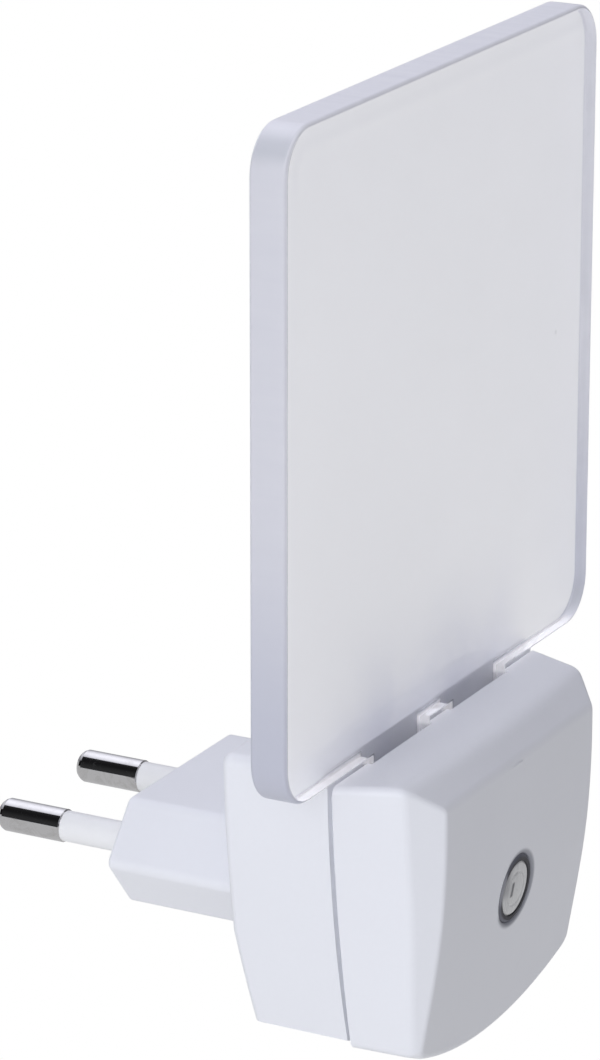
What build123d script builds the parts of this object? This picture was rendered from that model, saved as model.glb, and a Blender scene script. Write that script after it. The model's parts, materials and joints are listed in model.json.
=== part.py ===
from build123d import *
import os
from math import cos, sin, radians

# Plug-in night light: a two-pin plug body, a two-piece housing with a dusk
# sensor in its front, and a square light panel standing in a slot in its top.
# Millimetres. +Z up, front of the light towards -Y, pins towards +Y.
# Origin: midway between the two pins, on the engagement face of the plug.

# ---------------------------------------------------------------- dimensions
PIN_PITCH = 18.4          # centre distance of the pins
PIN_R = 2.0               # metal tip of a pin
PIN_STEM_R = 1.5          # metal core under the sleeve
PIN_LEN = 19.0            # pin length in front of the engagement face
SLEEVE_R = 1.84
SLEEVE_LEN = 10.2         # sleeved length in front of the engagement face
PIN_TIP_CH = 0.95         # rounding of the pin tip

PLUG_HW = 17.6            # half width of the plug body at its corners
PLUG_FLAT_HW = 12.2       # half width of its top and bottom flats
PLUG_HH = 6.5             # half height
PLUG_FACE = 3.5           # thickness of the engagement wall
PLUG_WALL = 1.7
PLUG_EDGE_R = 1.6

BACK_Y = -20.0            # back face of the rear housing
BACK_LOW_Y = -21.5        # the same face at the bottom edge
REAR_FRONT_Y = -33.45     # front rim of the rear housing
SEAM_Y = -34.05           # rear rim of the front cover; between them the groove
REAR_TOP_Z = 20.1         # top of the rear housing, behind the panel
TOP_Z = 18.65             # top of the front cover and of the panel ledge
TOP_HW = 26.15            # half width at the top
BOT_HW = 21.25            # half width at the lower corners
BOT_Z = -14.5             # lower corners
BELLY_Z = -18.4           # lowest point of the curved bottom
SIDE_MID = (24.7, 3.5)    # a point on the slightly bowed side
COVER_TAPER = 0.44        # the sides of the front cover run together, mm per mm, at the top
BEVEL_RUN = 0.95          # the flanks of its front fall back this much per mm outwards
END_Y = -47.0             # plane in front of the cover that its sides are drawn towards
COVER_DROP = 0.7          # its underside gets this much lower on the way there
REAR_LIFT = 0.6           # the underside of the rear housing is this much higher
WALL = 1.8

FRONT_HW = 19.3           # half width of the front face
BEVEL_TOP_Y = -42.2       # where the top starts to slope to the front, in the middle
FRONT_CROWN = 0.15        # how far the middle of the front face stands out

PANEL_W = 77.4
PANEL_X = 0.95             # the plate stands this far off the middle of the tabs
PANEL_T = 4.5
PANEL_Z0 = 19.2
PANEL_Z1 = 95.05
PANEL_FRONT_Y = -34.5
PANEL_R = 5.3             # corner radius
TAB_IN = 2.6              # half width of the notch between the tabs
TAB_OUT = 17.3
TAB_Z = 10.6              # lower end of the tabs
SLOT_HW = 20.2            # the cover is open behind its top over this half width
POCKET_GAP = 0.25         # play beside each tab in its pocket

SENSOR_Z = -0.8
RIM_R = 4.15              # hole for the sensor
MOUTH_R = 0.45            # rounding of its mouth
LENS_R = 3.3
SENSOR_Y = -44.35         # surface of the cover at the sensor
SENSOR_TILT = 6.2         # degrees; the front leans back towards the bottom

SCREWS = [(-20.9, 12.4), (20.9, 12.4), (-15.4, -10.9), (15.4, -10.9)]
SCREW_R = 1.25

LIP_IN = 0.95             # the lip of the cover stands this far inside the outline
LIP_LEN = 1.5             # how far it reaches into the rear housing

TAB_PEG_X, TAB_PEG_Z, TAB_PEG_R = 12.0, 14.4, 1.5

PCB_Y0, PCB_Y1 = -36.0, -37.6
PCB = (-18.2, 18.2, -7.1, 8.7)
PCB_SCREWS = [(-16.2, 6.7), (16.2, 6.7)]
LAMP_BOARD = (-18.8, 18.8, -29.95, -34.3, 6.4, 7.6)

PANEL_BACK_Y = PANEL_FRONT_Y + PANEL_T

os.makedirs("parts", exist_ok=True)


def save(name, shape):
    export_step(shape, f"parts/{name}.step")


def box(x0, x1, y0, y1, z0, z1):
    x0, x1 = sorted((x0, x1))
    y0, y1 = sorted((y0, y1))
    z0, z1 = sorted((z0, z1))
    return Pos((x0 + x1) / 2, (y0 + y1) / 2, (z0 + z1) / 2) * Box(x1 - x0, y1 - y0, z1 - z0)


def cyl_y(r, x, z, y0, y1):
    """Cylinder along Y between y0 and y1."""
    lo, hi = sorted((y0, y1))
    return Pos(x, (lo + hi) / 2, z) * Rot(90, 0, 0) * Cylinder(r, hi - lo)


def cyl_z(r, x, y, z0, z1):
    return Pos(x, y, (z0 + z1) / 2) * Cylinder(r, abs(z1 - z0))


def cyl_x(r, y, z, x0, x1):
    return Pos((x0 + x1) / 2, y, z) * Rot(0, 90, 0) * Cylinder(r, abs(x1 - x0))


def revolve_y(points, x, z):
    """Solid of revolution about an axis along Y; points are (radius, y)."""
    pts = [Vector(x + r, y, z) for r, y in points]
    face = make_face(Polyline(*pts, close=True))
    return revolve(face, axis=Axis((x, 0, z), (0, 1, 0)), revolution_arc=360)


def prism(points, y0, y1, radii=None):
    """Prism along Y; points are (x, z); radii rounds chosen corners."""
    with BuildSketch(Plane.XZ.offset(-y0)) as s:
        with BuildLine():
            Polyline(*points, close=True)
        make_face()
        if radii:
            for i, r in radii.items():
                px, pz = points[i]
                v = [q for q in s.vertices() if abs(q.X - px) < 1e-6 and abs(q.Y - pz) < 1e-6]
                fillet(v, r)
    return extrude(s.sketch, amount=y0 - y1)


# ------------------------------------------------------------ housing outline
def outline(y, top_z, top_r, bot_r, shrink=(0.0, 0.0, 0.0), lift=0.0):
    """Front-view outline of the housing in the plane at y; shrink narrows its
    top, middle and lower corners."""
    tw, bw = TOP_HW - shrink[0], BOT_HW - shrink[2] - lift * 0.5
    mz = SIDE_MID[1]
    mx = SIDE_MID[0] - shrink[1]
    bz = BOT_Z + lift
    with BuildSketch(Plane.XZ.offset(-y)) as s:
        with BuildLine():
            Line((-tw, top_z), (tw, top_z))
            ThreePointArc((tw, top_z), (mx, mz), (bw, bz))
            ThreePointArc((bw, bz), (0, BELLY_Z + lift), (-bw, bz))
            ThreePointArc((-bw, bz), (-mx, mz), (-tw, top_z))
        make_face()
        top = [v for v in s.vertices() if v.Y > top_z - 0.1]
        low = [v for v in s.vertices() if v.Y < bz + 0.1]
        fillet(top, top_r)
        fillet(low, bot_r)
    return s.sketch


def tall_outline(y, up, bot_r, shrink, drop=0.0):
    """The same outline with its sides carried on above the top, up to z = up."""
    bz, belly = BOT_Z - drop, BELLY_Z - drop
    tw, bw, mx, mz = TOP_HW - shrink[0], BOT_HW - shrink[2], SIDE_MID[0] - shrink[1], SIDE_MID[1]
    # centre and radius of the circle through the three points of a side
    a = (tw ** 2 + TOP_Z ** 2 - mx ** 2 - mz ** 2) / 2
    b = (mx ** 2 + mz ** 2 - bw ** 2 - bz ** 2) / 2
    det = (tw - mx) * (mz - bz) - (mx - bw) * (TOP_Z - mz)
    cx = (a * (mz - bz) - b * (TOP_Z - mz)) / det
    cz = ((tw - mx) * b - (mx - bw) * a) / det
    ux = cx + ((tw - cx) ** 2 + (TOP_Z - cz) ** 2 - (up - cz) ** 2) ** 0.5
    with BuildSketch(Plane.XZ.offset(-y)) as s:
        with BuildLine():
            Line((-ux, up), (ux, up))
            ThreePointArc((ux, up), (mx, mz), (bw, bz))
            ThreePointArc((bw, bz), (0, belly), (-bw, bz))
            ThreePointArc((-bw, bz), (-mx, mz), (-ux, up))
        make_face()
        fillet([v for v in s.vertices() if v.Y < bz + 0.1], bot_r)
    return s.sketch


def inner_outline(y, top_z, lift=0.0):
    return offset(outline(y, top_z, 1.9, 2.2, lift=lift), amount=-WALL)


# --------------------------------------------------------------- rear housing
outer = extrude(outline(BACK_Y, REAR_TOP_Z, 1.3, 1.8, lift=REAR_LIFT), amount=BACK_Y - REAR_FRONT_Y)
# the back face leans forward below the plug
side = Polyline((0, BACK_Y + 0, 30), (0, BACK_Y, -2.0), (0, BACK_LOW_Y - 0.45, -19.0),
                (0, -40, -19.0), (0, -40, 30), close=True)
side = extrude(make_face(side), amount=60, dir=(1, 0, 0), both=True)
outer = outer & side
back_edges = [e for e in outer.edges() if e.center().Y > -22.4 and e.bounding_box().size.Y < 2.2]
back_edges = [e for e in back_edges if not (abs(e.center().Z + 2.0) < 0.05 and abs(e.center().X) < 1)]
outer = fillet(back_edges, 0.9)

# step in front of the rear wall of the slot: the panel stands on this ledge
ledge_y = PANEL_BACK_Y + 0.1
outer -= box(-30, 30, ledge_y, REAR_FRONT_Y - 1, TOP_Z, REAR_TOP_Z + 1)
rear = outer
cavity = extrude(inner_outline(BACK_Y - 2.0, TOP_Z, REAR_LIFT), amount=20)
cavity = cavity & Pos(0, -2.0, 0) * side
rear -= cavity
# bosses for the housing screws
for x, z in SCREWS:
    rear += (cyl_y(3.9, x, z, BACK_Y - 1.5, REAR_FRONT_Y) & outer)
# a pocket for each tab of the panel; the top stays closed between them and beside them
for a, b in ((-TAB_OUT - POCKET_GAP, -TAB_IN + POCKET_GAP), (TAB_IN - POCKET_GAP, TAB_OUT + POCKET_GAP)):
    rear -= box(a, b, ledge_y, REAR_FRONT_Y - 1, TAB_Z - 0.5, TOP_Z + 1)
# wall that closes the slot behind the tabs, with a peg for each tab and two
# brackets under the lamp board
rear += box(-21.5, 21.5, ledge_y, ledge_y + 1.5, 4.2, TOP_Z - WALL + 0.01)
for x in (-TAB_PEG_X, TAB_PEG_X):
    rear += cyl_y(TAB_PEG_R, x, TAB_PEG_Z, ledge_y + 0.5, PANEL_FRONT_Y + 0.1)
    rear += box(x * 0.5 - 0.7, x * 0.5 + 0.7, ledge_y + 0.5, -33.6, 4.2, LAMP_BOARD[4])
# hexagonal opening for the plug body
HEX = [(-PLUG_FLAT_HW, PLUG_HH), (PLUG_FLAT_HW, PLUG_HH), (PLUG_HW, 0),
       (PLUG_FLAT_HW, -PLUG_HH), (-PLUG_FLAT_HW, -PLUG_HH), (-PLUG_HW, 0)]
HEX_R = {0: PLUG_EDGE_R, 1: PLUG_EDGE_R, 2: 1.2, 3: PLUG_EDGE_R, 4: PLUG_EDGE_R, 5: 1.2}
hex_hole = prism(HEX, BACK_Y + 5, BACK_Y - 5, HEX_R)
rear -= hex_hole
# seat that holds the flange of the plug body against the back wall
FL_HW, FL_HH = 19.6, 8.2
FL_Y0, FL_Y1 = BACK_Y - 2.0, BACK_Y - 3.6
seat = box(-FL_HW - 1.2, FL_HW + 1.2, FL_Y0 + 0.5, FL_Y1 - 0.6, -FL_HH - 1.2, FL_HH + 1.2)
seat -= box(-FL_HW, FL_HW, FL_Y0 + 2, FL_Y1 - 2, -FL_HH, FL_HH)
rear += (seat & outer)
rear -= hex_hole
rear -= box(-FL_HW, FL_HW, FL_Y0, FL_Y1 - 1.0, -FL_HH, FL_HH)
for x, z in SCREWS:
    rear -= cyl_y(2.8, x, z, BACK_Y + 3, BACK_Y - 4.2)
    rear -= cyl_y(1.6, x, z, BACK_Y, REAR_FRONT_Y - 2)
# rebate for the lip of the front cover
rim = outline(REAR_FRONT_Y - 0.01, TOP_Z, 1.9, 1.8, lift=REAR_LIFT)
rear -= extrude(offset(rim, amount=-LIP_IN + 0.02), amount=-LIP_LEN - 0.05) - \
    extrude(offset(rim, amount=-LIP_IN - 0.86), amount=-LIP_LEN - 0.05)
save("rear_housing", rear)

# ------------------------------------------------------------------ plug body
plug = prism(HEX, 0, FL_Y0, HEX_R)
face_edges = [e for e in plug.edges() if e.center().Y > -0.01]
plug = fillet(face_edges, 0.5)
plug += box(-FL_HW, FL_HW, FL_Y0, FL_Y1, -FL_HH, FL_HH)
w = PLUG_WALL
inner_hex = [(-PLUG_FLAT_HW + 0.7, PLUG_HH - w), (PLUG_FLAT_HW - 0.7, PLUG_HH - w), (PLUG_HW - w - 0.35, 0),
             (PLUG_FLAT_HW - 0.7, -PLUG_HH + w), (-PLUG_FLAT_HW + 0.7, -PLUG_HH + w), (-PLUG_HW + w + 0.35, 0)]
plug -= prism(inner_hex, -PLUG_FACE, FL_Y1 - 1)
for s in (-1, 1):
    plug -= cyl_y(SLEEVE_R, s * PIN_PITCH / 2, 0, 1, -PLUG_FACE - 0.5)
save("plug_body", plug)

# ------------------------------------------------- pins, sleeves and retainer
for s, word in ((-1, "left"), (1, "right")):
    x = s * PIN_PITCH / 2
    pin = revolve_y([(0, -9.0), (0.9, -9.0), (0.9, -5.2), (2.8, -5.2), (2.8, -PLUG_FACE), (PIN_STEM_R, -PLUG_FACE),
                     (PIN_STEM_R, SLEEVE_LEN), (PIN_R - 0.12, SLEEVE_LEN), (PIN_R, SLEEVE_LEN + 0.12),
                     (PIN_R, PIN_LEN - PIN_TIP_CH), (PIN_R - 0.13, PIN_LEN - 0.62), (PIN_R - 0.45, PIN_LEN - 0.22),
                     (PIN_R - 0.95, PIN_LEN), (0, PIN_LEN)], x, 0)
    save(f"{word}_pin", pin)
    sleeve = cyl_y(SLEEVE_R, x, 0, -PLUG_FACE, SLEEVE_LEN) - cyl_y(PIN_STEM_R, x, 0, -PLUG_FACE - 1, SLEEVE_LEN + 1)
    save(f"{word}_pin_sleeve", sleeve)

ret = prism([(-PLUG_FLAT_HW + 1.4, 4.2), (PLUG_FLAT_HW - 1.4, 4.2), (PLUG_HW - 2.9, 0), (PLUG_FLAT_HW - 1.4, -4.2),
             (-PLUG_FLAT_HW + 1.4, -4.2), (-PLUG_HW + 2.9, 0)], -PLUG_FACE, -7.4)
for s in (-1, 1):
    x = s * PIN_PITCH / 2
    ret -= cyl_y(2.8, x, 0, 0, -5.2)
    ret -= cyl_y(0.9, x, 0, -4, -9)
save("pin_retainer", ret)

# ------------------------------------------------------------------- the leads
for s, word in ((-1, "left"), (1, "right")):
    x = s * PIN_PITCH / 2
    path = FilletPolyline((x, -9.0, 0), (x, -20.0, 0), (s * 15.6, -29.0, 3.2), (s * 15.6, PCB_Y0, 3.2),
                          radius=3.5)
    lead = sweep(Plane((x, -9.0, 0), z_dir=(0, -1, 0)) * Circle(0.8), path=path)
    save(f"{word}_lead", lead)

# ---------------------------------------------------------------- front cover
front = [(-44.85, 22.0), (-44.85, 15.6), (-44.87, 11.0), (-44.75, 6.5), (-44.33, 0.5), (-43.38, -6.5), (-42.63, -11.0),
         (-41.98, -14.8), (-41.2, -19.2)]
FLANK_X = 29.0
bevel = [(y + BEVEL_RUN * (FLANK_X - FRONT_HW), z) for y, z in front]


def profile(x, pts):
    """Side-view profile of the cover in the plane at x."""
    with BuildLine() as ln:
        Spline(*[(x, y, z) for y, z in pts])
        Polyline((x, pts[-1][0], pts[-1][1]), (x, -10, pts[-1][1]), (x, -10, pts[0][1]), (x, pts[0][0], pts[0][1]))
    return make_face(ln.edges())


# crowned middle of the front
env = loft([profile(-FRONT_HW, front), profile(0, [(y - FRONT_CROWN, z) for y, z in front]), profile(FRONT_HW, front)])
# flanks, ruled from the edge of the front face outwards
for s in (-1, 1):
    env = env + loft([profile(s * FRONT_HW, front), profile(s * FLANK_X, bevel)], ruled=True)
# slope from the top down to the front face; it bows forward in the middle


def slope(x, crease_y, edge_y):
    """Section of the material removed above the slope, in the plane at x."""
    n = 3.0
    dy, dz = edge_y - crease_y, -(TOP_Z - 15.6)
    pts = [(crease_y - n * dy, TOP_Z - n * dz), (crease_y + 4 * dy, TOP_Z + 4 * dz), (-80, TOP_Z + 4 * dz),
           (-80, TOP_Z - n * dz)]
    return make_face(Polyline(*[(x, y, z) for y, z in pts], close=True))


def try_fillet(shape, pick, radii):
    """Rounds the picked edges with the first radius that gives a valid solid."""
    edges = [e for e in shape.edges() if pick(e)]
    for r in radii:
        try:
            new = fillet(edges, r)
            if new.is_valid and new.volume > 0.9 * shape.volume:
                return new
        except Exception:
            pass
    return shape


def tall(e):
    """The upright edge between a side of the cover and its flank."""
    return e.bounding_box().size.Z > 20 and 20 < abs(e.center().X) < 25 and e.center().Y < -40.5


UP = 21.5
flank_body = env & box(-29, 29, -60, -20, -30, UP)
env -= loft([slope(-27.2, -40.7, -44.5), slope(0, BEVEL_TOP_Y, -45.1), slope(27.2, -40.7, -44.5)])
env &= box(-26.6, 26.6, -60, -20, -30, TOP_Z)
inner_env = Pos(0, 1.9, -0.4) * env
env = try_fillet(env, lambda e: e.center().Z > TOP_Z - 0.1 and -43.5 < e.center().Y < -40
                 and e.bounding_box().size.X > 40, (3.0, 2.5, 2.0))
env = try_fillet(env, lambda e: e.center().Y < -44 and e.center().Z > 14.5 and e.bounding_box().size.X > 20,
                 (1.6, 1.2, 0.9))
run = (SEAM_Y - END_Y) * COVER_TAPER
taper = (run, run * 0.755, run * 0.38)
co = loft([tall_outline(SEAM_Y, UP, 1.6, (0, 0, 0)), tall_outline(END_Y, UP, 1.2, taper, COVER_DROP)], ruled=True) & flank_body
co = try_fillet(co, tall, (2.0, 1.6, 1.2))
co = co & env
# rounded upper edges, from the seam along the sides and down both ends of the slope
co = try_fillet(co, lambda e: e.center().Z > 15.7 and abs(e.center().X) > 19.4 and e.center().Y < SEAM_Y - 0.3,
                (0.9, 0.8, 0.7, 0.6, 0.5))
cover = co
# cavity
cavity = loft([offset(outline(SEAM_Y, TOP_Z, 1.9, 2.2), amount=-WALL),
               offset(outline(END_Y, TOP_Z, 1.9, 2.2, shrink=taper), amount=-WALL)], ruled=True)
cavity += extrude(inner_outline(SEAM_Y + 1, TOP_Z), amount=1.0)
cavity = cavity & inner_env
cover -= cavity
# lip that reaches into the rear housing
rim = outline(SEAM_Y - 0.6, TOP_Z, 1.9, 1.8, lift=REAR_LIFT)
lip = extrude(offset(rim, amount=-LIP_IN), amount=-(LIP_LEN + 1.2)) - \
    extrude(offset(rim, amount=-LIP_IN - 0.8), amount=-(LIP_LEN + 1.2))
cover += lip
# bosses for the housing screws and posts for the circuit board
for x, z in SCREWS:
    cover += cyl_y(2.7, x, z, REAR_FRONT_Y - 0.05, -44) & co
for x, z in PCB_SCREWS:
    cover += cyl_y(2.1, x, z, PCB_Y1, -44) & co
for x, z in SCREWS:
    cover -= cyl_y(SCREW_R, x, z, REAR_FRONT_Y + 1, -40.2)
for x, z in PCB_SCREWS:
    cover -= cyl_y(0.9, x, z, PCB_Y1 + 1, -41.5)
# recess for the front of the panel, and room for its tabs
cover -= box(-SLOT_HW, SLOT_HW, -25, PANEL_FRONT_Y - 0.1, 5.0, TOP_Z - WALL)
cover -= box(-SLOT_HW, SLOT_HW, -25, SEAM_Y, 5.0, TOP_Z + 2)
for a, b in ((-TAB_OUT - POCKET_GAP, -TAB_IN + POCKET_GAP), (TAB_IN - POCKET_GAP, TAB_OUT + POCKET_GAP)):
    cover -= box(a, b, -25, PANEL_FRONT_Y - 0.1, 5.0, TOP_Z + 2)
# hole for the sensor, in a short tube


def tilt(shape):
    return shape.rotate(Axis((0, SENSOR_Y, SENSOR_Z), (1, 0, 0)), SENSOR_TILT)


cover += tilt(cyl_y(5.4, 0, SENSOR_Z, -41.4, -43.4))
cover -= tilt(cyl_y(RIM_R, 0, SENSOR_Z, -30, -50))
cover = try_fillet(cover, lambda e: e.geom_type != GeomType.LINE and e.center().Y < -43.9
                   and 7.8 < e.bounding_box().size.X < 8.6 and e.bounding_box().size.Z > 7, (MOUTH_R, 0.35, 0.2))
save("front_cover", cover)

# -------------------------------------------------------------- sensor window
sy = SENSOR_Y
sleeve = revolve_y([(LENS_R, sy + 0.16), (LENS_R + 0.08, sy + 0.08), (LENS_R + 0.5, sy + 0.08), (RIM_R, sy + 0.4), (RIM_R, -41.4),
                    (LENS_R + 0.5, -41.4), (LENS_R + 0.5, -40.8), (LENS_R - 0.6, -40.8), (LENS_R - 0.6, -42.6),
                    (LENS_R, -42.6)], 0, SENSOR_Z)
save("sensor_sleeve", tilt(sleeve))
lens = revolve_y([(0, sy - 0.12), (1.1, sy - 0.08), (1.85, sy), (2.05, sy + 0.1), (2.25, sy + 0.01), (2.8, sy + 0.06),
                  (3.1, sy + 0.13), (LENS_R, sy + 0.26), (LENS_R, -42.6), (2.0, -42.6), (1.2, -42.2), (0, -42.05)], 0, SENSOR_Z)
save("sensor_lens", tilt(lens))
cell = cyl_y(2.6, 0, SENSOR_Z, -38.6, -39.9)
save("light_sensor", cell)
legs = Compound(children=[cyl_y(0.3, x, SENSOR_Z, PCB_Y1, -38.6) for x in (-1.4, 1.4)])
save("light_sensor_leads", legs)

# ---------------------------------------------------------------- light panel
x0, x1 = PANEL_X - PANEL_W / 2, PANEL_X + PANEL_W / 2
panel = prism([(x0, PANEL_Z0), (x0, PANEL_Z1), (x1, PANEL_Z1), (x1, PANEL_Z0)], PANEL_BACK_Y, PANEL_FRONT_Y,
              {0: PANEL_R, 1: PANEL_R, 2: PANEL_R, 3: PANEL_R})
for s in (-1, 1):
    a, b = sorted((s * TAB_IN, s * TAB_OUT))
    panel += prism([(a, TAB_Z), (a, PANEL_Z0 + 1), (b, PANEL_Z0 + 1), (b, TAB_Z)], PANEL_BACK_Y, PANEL_FRONT_Y,
                   {0: 0.8, 3: 0.8})
    panel -= cyl_y(TAB_PEG_R + 0.05, s * TAB_PEG_X, TAB_PEG_Z, -25, -40)
save("light_panel", panel)

# ------------------------------------------------------------------ the lamps
x0, x1, y0, y1, z0, z1 = LAMP_BOARD
save("lamp_board", box(x0, x1, y0, y1, z0, z1))
for s, word in ((-1, "left"), (1, "right")):
    x = s * 9.95
    body = box(x - 1.75, x + 1.75, -30.85, -33.65, z1, z1 + 1.9)
    body -= Pos(x, -32.25, z1 + 1.9) * Cone(0.9, 1.25, 0.9, align=(Align.CENTER, Align.CENTER, Align.MAX))
    save(f"{word}_led", body)
    save(f"{word}_led_phosphor", Pos(x, -32.25, z1 + 1.9) * Cone(0.9, 1.25, 0.9, align=(Align.CENTER, Align.CENTER, Align.MAX)))
lamp_wires = Compound(children=[cyl_y(0.45, x, (z0 + z1) / 2, y1, PCB_Y0) for x in (-3.0, 3.0)])
save("lamp_wires", lamp_wires)

# -------------------------------------------------------------- circuit board
x0, x1, z0, z1 = PCB
board = prism([(x0, z0), (x0, z1), (x1, z1), (x1, z0)], PCB_Y0, PCB_Y1, {0: 0.8, 1: 0.8, 2: 0.8, 3: 0.8})
for x, z in PCB_SCREWS:
    board -= cyl_y(1.0, x, z, -30, -40)
save("circuit_board", board)


def screw(x, z, y_head, head_r, head_t, shank_r, length, slot_r):
    """Pan-head screw along Y with its head towards the back and a cross recess."""
    s = revolve_y([(0, y_head), (head_r * 0.7, y_head), (head_r, y_head - head_t * 0.45), (head_r, y_head - head_t),
                   (shank_r, y_head - head_t), (shank_r, y_head - length + 0.8), (0.3, y_head - length), (0, y_head - length)], x, z)
    for a in (0, 90):
        s -= Pos(x, y_head, z) * Rot(0, a, 0) * Box(slot_r * 2, head_t * 1.1, 0.45)
    return s


save("housing_screws", Compound(children=[screw(x, z, BACK_Y - 2.7, 2.5, 1.5, SCREW_R, 16.0, 1.5) for x, z in SCREWS]))
save("board_screws", Compound(children=[screw(x, z, PCB_Y0 + 1.2, 1.8, 1.2, 0.9, 6.2, 1.0) for x, z in PCB_SCREWS]))

# ----------------------------------------------- parts on the circuit board
y = PCB_Y0
cap = box(-6.6, 6.6, y, y + 8.6, -6.5, 1.3)
cap = fillet([e for e in cap.edges() if e.center().Y > y + 0.1], 0.5)
save("film_capacitor", cap)
can = revolve_y([(0, y), (2.5, y), (2.5, y + 1.0), (2.3, y + 1.25), (2.3, y + 1.45), (2.5, y + 1.7), (2.5, y + 7.3),
                 (2.3, y + 7.5), (0, y + 7.5)], 10.4, -3.6)
save("electrolytic_capacitor", can)
save("bridge_rectifier", box(-12.6, -8.0, y, y + 2.5, -6.2, -2.3))


def axial(x0, x1, yc, z, r_end, r_mid, foot=1.0, r_lead=0.3):
    """Axial part lying along X with both leads bent down to the board."""
    n = 0.9 if x1 - x0 > 4 else 0.4
    pts = [(x0, 0), (x0, r_end), (x0 + n, r_end), (x0 + 1.4 * n, r_mid), (x1 - 1.4 * n, r_mid), (x1 - n, r_end),
           (x1, r_end), (x1, 0)]
    body = revolve(make_face(Polyline(*[(a, yc + b, z) for a, b in pts], close=True)),
                   axis=Axis((0, yc, z), (1, 0, 0)), revolution_arc=360)
    for end, s in ((x0, -1), (x1, 1)):
        path = FilletPolyline((end - s * 0.3, yc, z), (end + s * foot, yc, z), (end + s * foot, PCB_Y0, z), radius=0.6)
        body += sweep(Plane((end - s * 0.3, yc, z), z_dir=(s, 0, 0)) * Circle(r_lead), path=path)
    return body


save("fuse_resistor", axial(-16.0, -9.2, y + 1.8, 0.4, 1.6, 1.35))
save("bleed_resistor", axial(8.6, 13.4, y + 1.4, 0.9, 1.15, 0.95))
save("lamp_resistor", axial(-5.6, -0.6, y + 1.4, 3.0, 1.15, 0.95))
to92 = Pos(4.0, y + 3.3, 3.2) * Rot(90, 0, 0) * Cylinder(1.35, 4.0) - box(2, 6, y - 1, y + 7, 3.9, 6)
for k in (-0.85, 0, 0.85):
    to92 += cyl_y(0.25, 4.0 + k, 3.2, y, y + 1.5)
save("transistor", to92)
save("zener_diode", axial(-16.5, -14.1, y + 1.2, -2.9, 0.95, 0.93, foot=0.7))
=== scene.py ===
import json
import math

import bmesh
import bpy
from mathutils import Matrix, Vector


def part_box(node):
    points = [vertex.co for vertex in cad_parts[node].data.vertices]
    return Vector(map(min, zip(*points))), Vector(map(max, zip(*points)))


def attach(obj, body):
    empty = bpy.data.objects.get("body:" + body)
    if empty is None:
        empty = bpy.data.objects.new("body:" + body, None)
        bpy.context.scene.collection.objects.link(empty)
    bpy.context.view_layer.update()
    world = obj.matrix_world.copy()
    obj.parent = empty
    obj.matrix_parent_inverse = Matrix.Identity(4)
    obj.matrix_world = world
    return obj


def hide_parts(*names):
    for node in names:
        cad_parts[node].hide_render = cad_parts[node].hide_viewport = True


# Plug-in night light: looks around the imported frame. Metres, +Z up, front towards -Y, pins towards +Y,
# origin midway between the pins on the engagement face.

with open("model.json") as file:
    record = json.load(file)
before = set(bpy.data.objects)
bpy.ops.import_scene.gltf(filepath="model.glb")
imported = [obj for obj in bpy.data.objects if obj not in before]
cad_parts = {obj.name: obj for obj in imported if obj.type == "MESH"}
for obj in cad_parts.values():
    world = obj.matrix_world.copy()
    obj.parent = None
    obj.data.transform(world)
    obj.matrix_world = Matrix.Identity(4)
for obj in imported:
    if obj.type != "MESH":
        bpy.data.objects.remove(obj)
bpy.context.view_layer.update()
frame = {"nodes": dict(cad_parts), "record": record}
MM = 0.001
scene = bpy.context.scene
nodes_by_name = frame["nodes"]


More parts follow.
